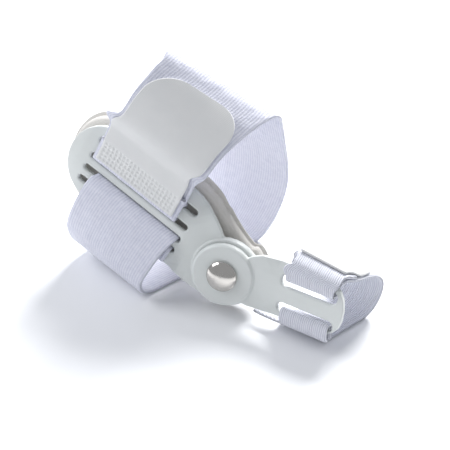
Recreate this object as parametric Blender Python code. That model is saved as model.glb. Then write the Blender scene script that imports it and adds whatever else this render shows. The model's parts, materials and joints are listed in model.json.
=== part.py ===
# Hinged bunion corrector: a moulded foot plate and a toe arm on one rivet, a foam pad behind
# the plate, a wide strap round the foot and a narrow strap round the big toe, each with a hook tab.
#
# The foot plate is laid out flat, along from the rivet to the heel end (x) and across towards its
# upper edge (y), and is then bent, crowned and tipped to lie as the splint lies on its two straps.

import math

import bmesh
import bpy
import numpy as np
from mathutils import Matrix, Vector

for old_object in list(bpy.data.objects):
    bpy.data.objects.remove(old_object, do_unlink=True)

MM = 0.001

# How the splint lies, with the rivet axis where it crosses the plate's face
HINGE_HEIGHT = 18.0 * MM
PLATE_HEADING = math.radians(-32.3)
PLATE_DIP = math.radians(23.5)
PLATE_LEAN = math.radians(19.8)
HUB_BEND = math.radians(7.0)
ARM_SWING = math.radians(23.0)
ARM_BEND = math.radians(16.0)

# Fits
SEAT_GAP = 0.3 * MM
SLOT_PLAY = 0.55 * MM

# Foot plate
PLATE_LENGTH = 76.8 * MM
PLATE_WIDTH = 31.6 * MM
PLATE_RISE = 3.2 * MM
PLATE_THICKNESS = 2.0 * MM
PLATE_CROWN = 2.5 * MM
HEEL_DROP = 2.2 * MM
HEEL_DROP_LENGTH = 11.0 * MM
CROWN_START = 12.0 * MM
CROWN_FADE = 9.5 * MM
SHOULDER_REACH = 28.0 * MM
SHOULDER_RADIUS = 30.6 * MM
HUB_RADIUS = 13.4 * MM
HUB_STEP = 0.8 * MM
BEND_START = 12.0 * MM
BEND_LENGTH = 6.0 * MM

# Slots of the foot plate, each at its height across the plate
SLOT_LENGTH = 46.8 * MM
SLOT_END_REACH = 20.6 * MM
SLOT_BEVEL = 0.5 * MM
SLOT_HEIGHTS = {"lowest": -5.8 * MM, "lower": -0.35 * MM, "upper": 5.2 * MM, "highest": 12.2 * MM}

# Toe arm
DISC_RADIUS = 12.1 * MM
DISC_HEIGHT = 2.8 * MM
DISC_BEVEL = 0.8 * MM
ARM_LENGTH = 49.6 * MM
ARM_HALF_WIDTH = 11.9 * MM
ARM_THICKNESS = 1.8 * MM
NECK_STEP = 0.1 * MM
ARM_CROWN = 2.0 * MM
ARM_SLOT_START = 23.2 * MM
ARM_SLOT_LENGTH = 23.2 * MM
MIDDLE_BAR = 6.6 * MM
UPPER_ARM_SLOT = 4.6 * MM
LOWER_ARM_SLOT = 4.0 * MM
ARM_BEND_START = 9.0 * MM
ARM_BEND_LENGTH = 6.0 * MM

# Rivet
CAP_RADIUS = 5.85 * MM
CAP_EDGE = 0.7 * MM
CAP_DOME = 2.2 * MM
SHANK_RADIUS = 2.2 * MM
BACK_HEAD_RADIUS = 4.5 * MM
BACK_HEAD_HEIGHT = 1.0 * MM

# Pad
PAD_THICKNESS = 4.8 * MM
PAD_EDGE_ROUND = 2.2 * MM
PAD_MARGIN = 3.8 * MM
PAD_HUB_RADIUS = 14.6 * MM
PAD_WAIST_RADIUS = 60.0 * MM
FLANGE_WIDTH = 0.8 * MM
FLANGE_THICKNESS = 1.0 * MM

# Straps and tabs
FOOT_STRAP_WIDTH = 40.0 * MM
TOE_STRAP_WIDTH = 20.0 * MM
STRAP_THICKNESS = 1.3 * MM
TOE_STRAP_THICKNESS = 1.1 * MM
TAB_THICKNESS = 1.0 * MM
FOOT_TAB_WIDTH = 36.7 * MM
FOOT_TAB_LENGTH = 49.0 * MM
FOOT_TAB_CORNER = 11.0 * MM
TAB_STEP = 8.0 * MM
TOE_TAB_WIDTH = 19.0 * MM
TOE_TAB_LENGTH = 24.0 * MM
TOE_TAB_CORNER = 7.5 * MM

# Loops of the straps: room from the plate to the back, and from the floor to the crest
FOOT_LOOP_DEPTH = 62.0 * MM
FOOT_LOOP_HEIGHT = 72.0 * MM
FOOT_LOOP_SET_BACK = 5.7 * MM
FOOT_FLOOR_HEADING = math.radians(-51.4)
FOOT_LOOP_SLANT = 0.273
TOE_LOOP_DEPTH = 25.0 * MM
TOE_LOOP_HEIGHT = 28.0 * MM
TOE_LOOP_SET_BACK = 6.1 * MM
TOE_LOOP_SHIFT = 4.7 * MM
TOE_FLOOR_HEADING = math.radians(-49.4)
TOE_LOOP_SLANT = 0.18


def unit(vector):
    """The same direction, one long."""
    return vector / np.linalg.norm(vector)


def heading_and_dip(heading, dip):
    """A direction from its heading on the floor and how far it dips below level."""
    return np.array([math.cos(dip) * math.cos(heading), math.cos(dip) * math.sin(heading), -math.sin(dip)])


# Directions of the slotted part of the plate, of its hub and of the arm
PLATE_ALONG = heading_and_dip(PLATE_HEADING, PLATE_DIP)
UPRIGHT = heading_and_dip(PLATE_HEADING, PLATE_DIP - math.pi / 2)
PLATE_OUT = (math.cos(PLATE_LEAN) * np.cross(PLATE_ALONG, UPRIGHT) + math.sin(PLATE_LEAN) * UPRIGHT)
PLATE_UP = np.cross(PLATE_OUT, PLATE_ALONG)
HUB_OUT = math.cos(HUB_BEND) * PLATE_OUT + math.sin(HUB_BEND) * PLATE_ALONG
HUB_ALONG = np.cross(PLATE_UP, HUB_OUT)
ARM_ALONG = math.cos(ARM_SWING) * HUB_ALONG + math.sin(ARM_SWING) * PLATE_UP
ARM_UP = np.cross(HUB_OUT, ARM_ALONG)
BLADE_ALONG = math.cos(ARM_BEND) * ARM_ALONG + math.sin(ARM_BEND) * HUB_OUT
HINGE = np.array([0.0, 0.0, HINGE_HEIGHT])

PLATE_HALF = PLATE_WIDTH / 2
DISC_BASE = SEAT_GAP
DISC_FACE = DISC_BASE + DISC_HEIGHT
NECK_FACE = SEAT_GAP + NECK_STEP + ARM_THICKNESS
PLATE_BACK = -PLATE_CROWN - PLATE_THICKNESS
PAD_FACE = PLATE_BACK - SEAT_GAP
STRAP_LIFT = SEAT_GAP + STRAP_THICKNESS / 2
SLOT_SIDE = SLOT_PLAY + STRAP_THICKNESS / 2
STRAP_LAYER = SEAT_GAP + STRAP_THICKNESS
TAB_LIFT = SEAT_GAP + STRAP_THICKNESS / 2 + TAB_THICKNESS / 2
TOE_LIFT = SEAT_GAP + TOE_STRAP_THICKNESS / 2
TOE_SIDE = SLOT_PLAY + TOE_STRAP_THICKNESS / 2
TOE_LAYER = SEAT_GAP + TOE_STRAP_THICKNESS
TOE_TAB_LIFT = SEAT_GAP + TOE_STRAP_THICKNESS / 2 + TAB_THICKNESS / 2
SLOT_WIDTH = STRAP_THICKNESS + 2 * SLOT_PLAY


def frame_matrix(along, up, out, origin):
    """A placing matrix from three directions and an origin."""
    rows = [list(row) for row in np.column_stack((along, up, out, origin))]
    return Matrix(rows + [[0.0, 0.0, 0.0, 1.0]])


FOOT_FRAME = frame_matrix(HUB_ALONG, PLATE_UP, HUB_OUT, HINGE)
TOE_FRAME = frame_matrix(ARM_ALONG, ARM_UP, HUB_OUT, HINGE)


def smooth_step(value):
    """0 below 0, 1 above 1, and an even S between."""
    share = min(max(value, 0.0), 1.0)
    return share * share * (3.0 - 2.0 * share)


def bend(x, z, start, length, angle):
    """Carry a point of a flat strip over a bend that starts at x and turns by an angle, away from +z."""
    run = x - start
    if run <= 0.0:
        return x, z
    radius = length / angle
    turn = min(run / length, 1.0) * angle
    beyond = max(run - length, 0.0)
    bent_x = start + (radius + z) * math.sin(turn) + beyond * math.cos(turn)
    bent_z = (radius + z) * math.cos(turn) - radius - beyond * math.sin(turn)
    return bent_x, bent_z


def heel_fall(x):
    """How far the heel end curls away from the plate's face."""
    share = max(-x - PLATE_LENGTH + HEEL_DROP_LENGTH, 0.0) / HEEL_DROP_LENGTH
    return HEEL_DROP * share * share


def plate_fall(x, y):
    """How far the plate's outer face lies below its flat layout: sunk at the hub, crowned beyond it."""
    fade = smooth_step((-x - CROWN_START) / CROWN_FADE)
    across = (y - PLATE_RISE) / PLATE_HALF
    return HUB_STEP * (1.0 - fade) + PLATE_CROWN * fade * across * across + heel_fall(x)


def shape_plate(x, y, z):
    """A point of the plate's flat layout, crowned and then bent behind the hub."""
    bent_x, bent_z = bend(-x, z - plate_fall(x, y), BEND_START, BEND_LENGTH, HUB_BEND)
    return -bent_x, y, bent_z


def shape_pad(x, y, z):
    """A point of the pad's flat layout, bent as the plate is."""
    bent_x, bent_z = bend(-x, z - heel_fall(x), BEND_START, BEND_LENGTH, HUB_BEND)
    return -bent_x, y, bent_z


def arm_crown(x, y):
    """How far the arm's face falls away from its flat layout towards its edges."""
    fade = smooth_step((x - DISC_RADIUS) / (ARM_SLOT_START - DISC_RADIUS))
    across = y / ARM_HALF_WIDTH
    return ARM_CROWN * fade * across * across


def shape_arm(x, y, z):
    """A point of the arm's flat layout, crowned and then bent outwards beyond the disc."""
    bent_x, bent_z = bend(x, -z + arm_crown(x, y), ARM_BEND_START, ARM_BEND_LENGTH, ARM_BEND)
    return bent_x, y, -bent_z


def place(frame, shape, x, y, z):
    """The place in the world of a point of a flat layout."""
    return np.array(frame @ Vector(shape(x, y, z)))


def make_material(name, colour, roughness, metallic=0.0):
    """A plain principled finish."""
    finish = bpy.data.materials.new(name)
    finish.use_nodes = True
    shader = finish.node_tree.nodes["Principled BSDF"]
    shader.inputs["Base Color"].default_value = (*colour, 1.0)
    shader.inputs["Roughness"].default_value = roughness
    shader.inputs["Metallic"].default_value = metallic
    return finish


def add_piece(name, mesh, finish, parent=None):
    """Link a mesh as a named piece, on its parent's frame when it has one."""
    mesh.name = name
    piece = bpy.data.objects.new(name, mesh)
    piece.parent = parent
    mesh.materials.clear()
    mesh.materials.append(finish)
    bpy.context.scene.collection.objects.link(piece)
    return piece


def add_empty(name, frame):
    """An empty that carries the pieces laid out in its frame."""
    empty = bpy.data.objects.new(name, None)
    empty.matrix_world = frame
    bpy.context.scene.collection.objects.link(empty)
    return empty


def arc(centre, radius, start, end, steps):
    """Points of an arc between two angles in degrees, both ends included."""
    angles = np.radians(np.linspace(start, end, steps + 1))
    return [(centre[0] + radius * math.cos(turn), centre[1] + radius * math.sin(turn)) for turn in angles]


def direction_angle(origin, target):
    """The angle in degrees from one point to another."""
    return math.degrees(math.atan2(target[1] - origin[1], target[0] - origin[0]))


def circles_meet(first, first_radius, second, second_radius):
    """Where two circles cross, the crossing with the higher y."""
    gap = math.dist(first, second)
    along = (gap**2 + first_radius**2 - second_radius**2) / (2.0 * gap)
    aside = math.sqrt(first_radius**2 - along**2)
    unit_x = (second[0] - first[0]) / gap
    unit_y = (second[1] - first[1]) / gap
    base = (first[0] + along * unit_x, first[1] + along * unit_y)
    choices = [(base[0] - side * aside * unit_y, base[1] + side * aside * unit_x) for side in (1, -1)]
    return max(choices, key=lambda point: point[1])


def loft(rings):
    """A closed body through rings of equally many points, capped at both ends."""
    body = bmesh.new()
    levels = [[body.verts.new(point) for point in ring] for ring in rings]
    count = len(levels[0])
    for lower, upper in zip(levels, levels[1:]):
        for index in range(count):
            after = (index + 1) % count
            body.faces.new((lower[index], lower[after], upper[after], upper[index]))
    body.faces.new(list(reversed(levels[0])))
    body.faces.new(levels[-1])
    bmesh.ops.recalc_face_normals(body, faces=body.faces)
    return body


def slab(outline, bottom, top, edge_round=0.0):
    """A flat slab with a given outline and an optional bevel round its top edge."""
    rings = [[(x, y, bottom) for x, y in outline], [(x, y, top - edge_round) for x, y in outline]]
    body = loft(rings) if edge_round == 0.0 else None
    if body is None:
        centre_x = sum(x for x, y in outline) / len(outline)
        centre_y = sum(y for x, y in outline) / len(outline)
        reach = max(math.dist((x, y), (centre_x, centre_y)) for x, y in outline)
        shrink = 1.0 - edge_round / reach
        inner = [(centre_x + (x - centre_x) * shrink, centre_y + (y - centre_y) * shrink) for x, y in outline]
        body = loft(rings + [[(x, y, top) for x, y in inner]])
    return body


def to_mesh(body, name):
    """A mesh from an edited body."""
    mesh = bpy.data.meshes.new(name)
    body.to_mesh(mesh)
    body.free()
    return mesh


def combine(mesh, other, operation):
    """The exact union or difference of two closed meshes."""
    base = bpy.data.objects.new("base", mesh)
    tool = bpy.data.objects.new("tool", other)
    for helper in (base, tool):
        bpy.context.scene.collection.objects.link(helper)
    step = base.modifiers.new("combine", "BOOLEAN")
    step.operation = operation
    step.solver = "EXACT"
    step.object = tool
    bpy.context.view_layer.update()
    evaluated = base.evaluated_get(bpy.context.evaluated_depsgraph_get())
    result = bpy.data.meshes.new_from_object(evaluated)
    for helper in (base, tool):
        bpy.data.objects.remove(helper, do_unlink=True)
    return result


def slot_outline(x_from, x_to, y, width, steps=6):
    """The outline of a round-ended slot along x."""
    half = width / 2
    right = arc((x_to - half, y), half, -90, 90, steps)
    left = arc((x_from + half, y), half, 90, 270, steps)
    return right + left


def slot_cutter(x_from, x_to, y, width, depth, bevel):
    """A slot's cutter, wider at the top so that the slot's rim is bevelled."""
    rings = []
    for level, spread in ((-depth, 0.0), (-bevel, 0.0), (bevel, 2.0 * bevel)):
        outline = slot_outline(x_from - spread, x_to + spread, y, width + 2.0 * spread)
        rings.append([(px, py, level) for px, py in outline])
    return to_mesh(loft(rings), "slot")


def reshape(mesh, shape, x_step, y_step):
    """Cut a mesh into narrow strips both ways, then carry each point by the shape's rule."""
    body = bmesh.new()
    body.from_mesh(mesh)
    for axis, step in ((0, x_step), (1, y_step)):
        low = min(vertex.co[axis] for vertex in body.verts)
        high = max(vertex.co[axis] for vertex in body.verts)
        for line in np.arange(math.floor(low / step) + 1, math.ceil(high / step)) * step:
            origin = [0.0, 0.0, 0.0]
            normal = [0.0, 0.0, 0.0]
            origin[axis] = float(line)
            normal[axis] = 1.0
            everything = body.verts[:] + body.edges[:] + body.faces[:]
            bmesh.ops.bisect_plane(body, geom=everything, plane_co=origin, plane_no=normal, dist=1e-7)
    bmesh.ops.triangulate(body, faces=body.faces)
    for vertex in body.verts:
        vertex.co = shape(*vertex.co)
    return to_mesh(body, mesh.name)


def finish_shading(mesh):
    """Smooth shading with the real corners kept sharp."""
    mesh.shade_smooth()
    mesh.set_sharp_from_angle(angle=math.radians(35))


def plate_outline():
    """The plate's outline: heel round, top edge, shoulder down to the hub, hub round, bottom edge."""
    heel_centre = (-PLATE_LENGTH + PLATE_HALF, PLATE_RISE)
    top = PLATE_RISE + PLATE_HALF
    shoulder_centre = (-SHOULDER_REACH, top - SHOULDER_RADIUS)
    notch = circles_meet(shoulder_centre, SHOULDER_RADIUS, (0.0, 0.0), HUB_RADIUS)
    heel = arc(heel_centre, PLATE_HALF, 270, 90, 20)
    shoulder = arc(shoulder_centre, SHOULDER_RADIUS, 90, direction_angle(shoulder_centre, notch), 8)
    hub = arc((0.0, 0.0), HUB_RADIUS, direction_angle((0.0, 0.0), notch), -90, 20)
    return list(reversed(heel + shoulder + hub[1:]))


def make_foot_plate():
    """The moulded foot plate: crowned shell, four slots, raised hub seat and rivet hole."""
    shell = to_mesh(slab(plate_outline(), -PLATE_THICKNESS, 0.0), "shell")
    for height in SLOT_HEIGHTS.values():
        heel_end = -SLOT_END_REACH - SLOT_LENGTH
        cutter = slot_cutter(heel_end, -SLOT_END_REACH, height, SLOT_WIDTH, PLATE_THICKNESS * 2.0, SLOT_BEVEL)
        shell = combine(shell, cutter, "DIFFERENCE")
    shell = reshape(shell, shape_plate, 4.0 * MM, 4.0 * MM)
    seat_base = -HUB_STEP - PLATE_THICKNESS / 2
    seat = to_mesh(slab(arc((0, 0), HUB_RADIUS - SEAT_GAP, 0, 352.5, 47), seat_base, 0.0, 0.2 * MM), "seat")
    shell = combine(shell, seat, "UNION")
    hole = to_mesh(slab(arc((0, 0), SHANK_RADIUS + SEAT_GAP, 0, 345, 23), -9 * MM, 5 * MM), "hole")
    shell = combine(shell, hole, "DIFFERENCE")
    finish_shading(shell)
    return shell


# The arm's outline beyond the disc, a row for each section: reach is a share of ARM_LENGTH,
# upper and lower are shares of ARM_HALF_WIDTH
ARM_SECTIONS = (
    {"reach": 0.15, "upper": 0.70, "lower": -0.76},
    {"reach": 0.21, "upper": 0.86, "lower": -0.82},
    {"reach": 0.29, "upper": 0.98, "lower": -0.82},
    {"reach": 0.44, "upper": 1.00, "lower": -0.82},
    {"reach": 0.60, "upper": 0.98, "lower": -0.81},
    {"reach": 0.77, "upper": 0.93, "lower": -0.80},
    {"reach": 0.89, "upper": 0.86, "lower": -0.74},
    {"reach": 0.94, "upper": 0.75, "lower": -0.62},
    {"reach": 0.98, "upper": 0.53, "lower": -0.42},
    {"reach": 1.00, "upper": 0.22, "lower": -0.14},
)


def arm_outline():
    """The outline of the arm's blade, from inside the disc to its narrow round end."""
    upper = [(row["reach"] * ARM_LENGTH, row["upper"] * ARM_HALF_WIDTH) for row in ARM_SECTIONS]
    lower = [(row["reach"] * ARM_LENGTH, row["lower"] * ARM_HALF_WIDTH) for row in ARM_SECTIONS]
    return lower + list(reversed(upper))


def make_toe_arm():
    """The moulded toe arm: rivet disc, neck bent outwards and a slotted blade."""
    blade = to_mesh(slab(arm_outline(), NECK_FACE - ARM_THICKNESS, NECK_FACE), "blade")
    upper_slot = MIDDLE_BAR / 2 + UPPER_ARM_SLOT / 2
    lower_slot = -MIDDLE_BAR / 2 - LOWER_ARM_SLOT / 2
    for height, width in ((upper_slot, UPPER_ARM_SLOT), (lower_slot, LOWER_ARM_SLOT)):
        cutter = slot_cutter(
            ARM_SLOT_START,
            ARM_SLOT_START + ARM_SLOT_LENGTH,
            height,
            width,
            ARM_THICKNESS * 2.0,
            SLOT_BEVEL,
        )
        cutter.transform(Matrix.Translation((0.0, 0.0, NECK_FACE)))
        blade = combine(blade, cutter, "DIFFERENCE")
    blade = reshape(blade, shape_arm, 3.0 * MM, 3.0 * MM)
    disc = to_mesh(slab(arc((0, 0), DISC_RADIUS, 0, 352.5, 47), DISC_BASE, DISC_FACE, DISC_BEVEL), "disc")
    arm = combine(disc, blade, "UNION")
    hole = to_mesh(slab(arc((0, 0), SHANK_RADIUS + SEAT_GAP, 0, 345, 23), -9 * MM, 9 * MM), "hole")
    arm = combine(arm, hole, "DIFFERENCE")
    finish_shading(arm)
    return arm


def make_rivet():
    """The rivet: a domed cap over the disc, a hidden shank and a flat head behind the plate."""
    cap_base = DISC_FACE + SEAT_GAP
    cap_shoulder = cap_base + CAP_EDGE
    back = -HUB_STEP - PLATE_THICKNESS - SEAT_GAP
    profile = [(BACK_HEAD_RADIUS, back - BACK_HEAD_HEIGHT), (BACK_HEAD_RADIUS, back)]
    profile += [(SHANK_RADIUS, back), (SHANK_RADIUS, cap_base), (CAP_RADIUS, cap_base)]
    for turn in np.radians(np.linspace(0, 75, 6)):
        profile.append((CAP_RADIUS * math.cos(turn), cap_shoulder + CAP_DOME * math.sin(turn)))
    sides = 32
    angles = [2.0 * math.pi * index / sides for index in range(sides)]
    rings = [[(r * math.cos(turn), r * math.sin(turn), z) for turn in angles] for r, z in profile]
    mesh = to_mesh(loft(rings), "rivet")
    finish_shading(mesh)
    return mesh


def pad_outline(inset):
    """The pad's outline, drawn in by an inset: heel round, top, shoulder, waist, hub round, bottom."""
    half = PLATE_HALF + PAD_MARGIN - inset
    heel_centre = (-PLATE_LENGTH + PLATE_HALF + PAD_MARGIN / 4, PLATE_RISE)
    heel = arc(heel_centre, half, 270, 90, 20)
    top = PLATE_RISE + PLATE_HALF + PAD_MARGIN
    shoulder_centre = (-SHOULDER_REACH, top - SHOULDER_RADIUS)
    reach = SHOULDER_RADIUS + PAD_WAIST_RADIUS
    hub_reach = PAD_HUB_RADIUS + PAD_WAIST_RADIUS
    waist_centre = circles_meet(shoulder_centre, reach, (0.0, 0.0), hub_reach)
    shoulder_end = direction_angle(shoulder_centre, waist_centre)
    hub_start = direction_angle((0.0, 0.0), waist_centre)
    shoulder = arc(shoulder_centre, SHOULDER_RADIUS - inset, 90, shoulder_end, 6)
    waist = arc(waist_centre, PAD_WAIST_RADIUS + inset, shoulder_end + 180, hub_start + 180, 6)
    hub = arc((0.0, 0.0), PAD_HUB_RADIUS - inset, hub_start, -90, 18)
    return list(reversed(heel + shoulder[1:] + waist[1:] + hub[1:]))


# The pad's edge from its front face to its back, a row for each level: depth is a share of the
# thickness in front of the flange, inset is a share of PAD_EDGE_ROUND
PAD_LEVELS = (
    {"depth": 0.00, "inset": 1.00},
    {"depth": 0.10, "inset": 0.45},
    {"depth": 0.32, "inset": 0.08},
    {"depth": 0.62, "inset": 0.00},
    {"depth": 0.90, "inset": 0.20},
    {"depth": 1.00, "inset": 0.40},
)


def make_pad():
    """The fabric-covered foam pad behind plate and hinge, with a thin pressed flange at its back."""
    front_depth = PAD_THICKNESS - FLANGE_THICKNESS
    rings = []
    for row in PAD_LEVELS:
        level = PAD_FACE - row["depth"] * front_depth
        rings.append([(x, y, level) for x, y in pad_outline(row["inset"] * PAD_EDGE_ROUND)])
    for level in (PAD_FACE - front_depth, PAD_FACE - PAD_THICKNESS):
        rings.append([(x, y, level) for x, y in pad_outline(-FLANGE_WIDTH)])
    mesh = reshape(to_mesh(loft(rings), "pad"), shape_pad, 6.0 * MM, 12.0 * MM)
    finish_shading(mesh)
    return mesh


def smooth_rows(rows, spacing):
    """A smooth curve through rows of numbers, whose first three are a place, at an even spacing."""
    rows = np.asarray(rows, float)
    steps = np.linalg.norm(np.diff(rows[:, :3], axis=0), axis=1)
    chords = np.diff(rows, axis=0) / steps[:, None]
    before = steps[:-1, None]
    after = steps[1:, None]
    inner = (chords[:-1] * after + chords[1:] * before) / (before + after)
    slopes = np.vstack((chords[:1], inner, chords[-1:]))
    pieces = []
    for index, step in enumerate(steps):
        count = max(1, math.ceil(step / spacing))
        share = np.linspace(0.0, 1.0, count, endpoint=False)[:, None]
        start = (1.0 + 2.0 * share) * (1.0 - share) ** 2 * rows[index]
        end = share**2 * (3.0 - 2.0 * share) * rows[index + 1]
        leave = share * (1.0 - share) ** 2 * step * slopes[index]
        arrive = share**2 * (share - 1.0) * step * slopes[index + 1]
        pieces.append(start + end + leave + arrive)
    pieces.append(rows[-1:])
    return np.vstack(pieces)


def band_path(rows, width, thickness):
    """Middle places, rulings, face directions and ruled widths along a band given by its rim's rows."""
    path = smooth_rows(rows, 3.5 * MM)
    rims = path[:, :3].copy()
    rims[:, 2] = np.maximum(rims[:, 2], thickness / 2)
    rulings = path[:, 3:] / np.linalg.norm(path[:, 3:], axis=1)[:, None]
    chords = np.diff(rims, axis=0)
    chords /= np.linalg.norm(chords, axis=1)[:, None]
    along = np.vstack((chords[:1], chords[:-1] + chords[1:], chords[-1:]))
    along /= np.linalg.norm(along, axis=1)[:, None]
    outs = np.cross(rulings, along)
    lean = np.linalg.norm(outs, axis=1)
    outs /= lean[:, None]
    widths = width / lean
    far_rims = rims - rulings * widths[:, None]
    far_rims[:, 2] = np.maximum(far_rims[:, 2], thickness / 2)
    rulings = (rims - far_rims) / widths[:, None]
    return (rims + far_rims) / 2, rulings, outs, widths


def band_mesh(centres, rulings, outs, widths, thickness, columns=4):
    """A closed flat band: straight across its width at each section, with an even thickness."""
    shares = np.linspace(-0.5, 0.5, columns + 1)
    across = centres[:, None, :] + shares[None, :, None] * widths[:, None, None] * rulings[:, None, :]
    outer = across + outs[:, None, :] * thickness / 2
    inner = across - outs[:, None, :] * thickness / 2
    body = bmesh.new()
    rings = np.concatenate((outer, inner[:, ::-1, :]), axis=1)
    sections = [[body.verts.new(point) for point in ring] for ring in rings]
    count = len(sections[0])
    for first, second in zip(sections, sections[1:]):
        for index in range(count):
            after = (index + 1) % count
            body.faces.new((first[index], first[after], second[after], second[index]))
    body.faces.new(sections[0])
    body.faces.new(list(reversed(sections[-1])))
    bmesh.ops.triangulate(body, faces=body.faces)
    bmesh.ops.recalc_face_normals(body, faces=body.faces)
    mesh = to_mesh(body, "band")
    finish_shading(mesh)
    return mesh


def quarter(corner, side, lift, start, end):
    """Points of a band's middle line a quarter of the way round one corner of a bar."""
    turns = np.radians(np.linspace(start, end, 4))
    return [(corner[0] + side * math.cos(turn), corner[1] + lift * math.sin(turn)) for turn in turns]


def behind_bar(lower, upper, face_at, thickness, side, lift):
    """A band's line behind a bar, from the slot below it to the slot above it."""
    low_back = (lower, face_at(lower) - thickness)
    high_back = (upper, face_at(upper) - thickness)
    rows = [(lower - side, face_at(lower))]
    rows += quarter(low_back, side, lift, 180, 270)
    rows += quarter(high_back, side, lift, 270, 360)
    return rows + [(upper + side, face_at(upper))]


def foot_face(y):
    """The plate's outer face across its slots."""
    return -plate_fall(-SLOT_END_REACH - SLOT_LENGTH / 2, y)


def blade_face(y):
    """The arm blade's outer face across its slots."""
    return -arm_crown(ARM_SLOT_START + ARM_SLOT_LENGTH / 2, y)


def plate_rows(pairs, x):
    """Rows at one place along the plate's slots from pairs of (across, out)."""
    return [[*place(FOOT_FRAME, shape_pad, x, y, z), *PLATE_ALONG] for y, z in pairs]


def arm_rows(pairs, x, ruling):
    """Rows at one place along the arm's slots from pairs of (across, out)."""
    base = place(TOE_FRAME, shape_arm, x, 0.0, NECK_FACE)
    out = unit(base - place(TOE_FRAME, shape_arm, x, 0.0, 0.0))
    return [[*(base + y * ARM_UP + z * out), *ruling] for y, z in pairs]


def loop_rows(table, floor_at, heading, depth, height, slant, half):
    """Rows of a loop's table in the world."""
    along = heading_and_dip(heading, 0.0)
    back = np.cross([0.0, 0.0, 1.0], along)
    rows = []
    for row in table:
        rise = row["height"] * height
        spot = floor_at + back * row["depth"] * depth + along * rise * slant
        spot = spot + np.array([0.0, 0.0, max(rise, half)])
        ruling = heading_and_dip(heading + math.radians(row["turn"]), math.radians(row["dip"]))
        rows.append([*spot, *ruling])
    return rows


def floor_below(start, down_line, heading, set_back, shift):
    """The floor place a loop is measured from, set back and along from below its way out."""
    along = heading_and_dip(heading, 0.0)
    back = np.cross([0.0, 0.0, 1.0], along)
    return start - down_line * start[2] / down_line[2] + back * set_back + along * shift


# The foot strap's toe-side rim, from its way out of the lower slot down to the floor, back, up to
# the crest and down again to the plate. Depth and height are shares of the loop's depth and
# height; turn and dip give, in degrees, the direction straight across the strap.
FOOT_LOOP = (
    {"depth": 0.040, "height": 0.312, "turn": 18.0, "dip": 22.0},
    {"depth": -0.045, "height": 0.212, "turn": 15.0, "dip": 18.5},
    {"depth": -0.092, "height": 0.115, "turn": 11.0, "dip": 13.0},
    {"depth": -0.062, "height": 0.045, "turn": 8.0, "dip": 8.0},
    {"depth": 0.010, "height": 0.012, "turn": 5.0, "dip": 4.0},
    {"depth": 0.120, "height": 0.000, "turn": 0.0, "dip": 0.0},
    {"depth": 0.180, "height": 0.000, "turn": 0.0, "dip": 0.0},
    {"depth": 0.760, "height": 0.000, "turn": 0.0, "dip": 0.0},
    {"depth": 0.820, "height": 0.000, "turn": 0.0, "dip": 0.0},
    {"depth": 0.890, "height": 0.025, "turn": 1.0, "dip": 1.0},
    {"depth": 0.945, "height": 0.085, "turn": 4.0, "dip": 4.0},
    {"depth": 0.992, "height": 0.222, "turn": 10.0, "dip": 9.0},
    {"depth": 0.995, "height": 0.401, "turn": 16.0, "dip": 14.0},
    {"depth": 0.948, "height": 0.567, "turn": 21.0, "dip": 18.0},
    {"depth": 0.874, "height": 0.736, "turn": 26.0, "dip": 22.0},
    {"depth": 0.802, "height": 0.897, "turn": 30.0, "dip": 25.0},
    {"depth": 0.762, "height": 0.970, "turn": 31.5, "dip": 25.5},
    {"depth": 0.732, "height": 0.990, "turn": 31.5, "dip": 25.5},
    {"depth": 0.690, "height": 0.995, "turn": 31.0, "dip": 25.5},
    {"depth": 0.565, "height": 0.970, "turn": 28.5, "dip": 25.0},
    {"depth": 0.442, "height": 0.916, "turn": 25.0, "dip": 24.5},
    {"depth": 0.335, "height": 0.845, "turn": 22.0, "dip": 24.0},
    {"depth": 0.250, "height": 0.752, "turn": 20.0, "dip": 23.5},
)

# The toe strap's toe-side rim, from the front of the loop's top over the back and along the floor
# to its way into the lower slot
TOE_LOOP = (
    {"depth": 0.30, "height": 0.970, "turn": 13.0, "dip": 6.0},
    {"depth": 0.54, "height": 0.910, "turn": 12.0, "dip": 5.0},
    {"depth": 0.79, "height": 0.800, "turn": 11.0, "dip": 3.0},
    {"depth": 0.94, "height": 0.650, "turn": 10.0, "dip": 1.0},
    {"depth": 1.00, "height": 0.480, "turn": 10.0, "dip": 0.0},
    {"depth": 0.99, "height": 0.270, "turn": 9.0, "dip": 0.0},
    {"depth": 0.90, "height": 0.110, "turn": 8.0, "dip": 0.0},
    {"depth": 0.74, "height": 0.000, "turn": 8.0, "dip": 0.0},
    {"depth": 0.66, "height": 0.000, "turn": 8.0, "dip": 0.0},
    {"depth": 0.18, "height": 0.000, "turn": 8.0, "dip": 0.0},
    {"depth": 0.08, "height": 0.000, "turn": 8.0, "dip": 0.0},
    {"depth": -0.04, "height": 0.035, "turn": 9.0, "dip": 0.0},
    {"depth": -0.15, "height": 0.110, "turn": 12.0, "dip": 0.0},
)


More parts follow.
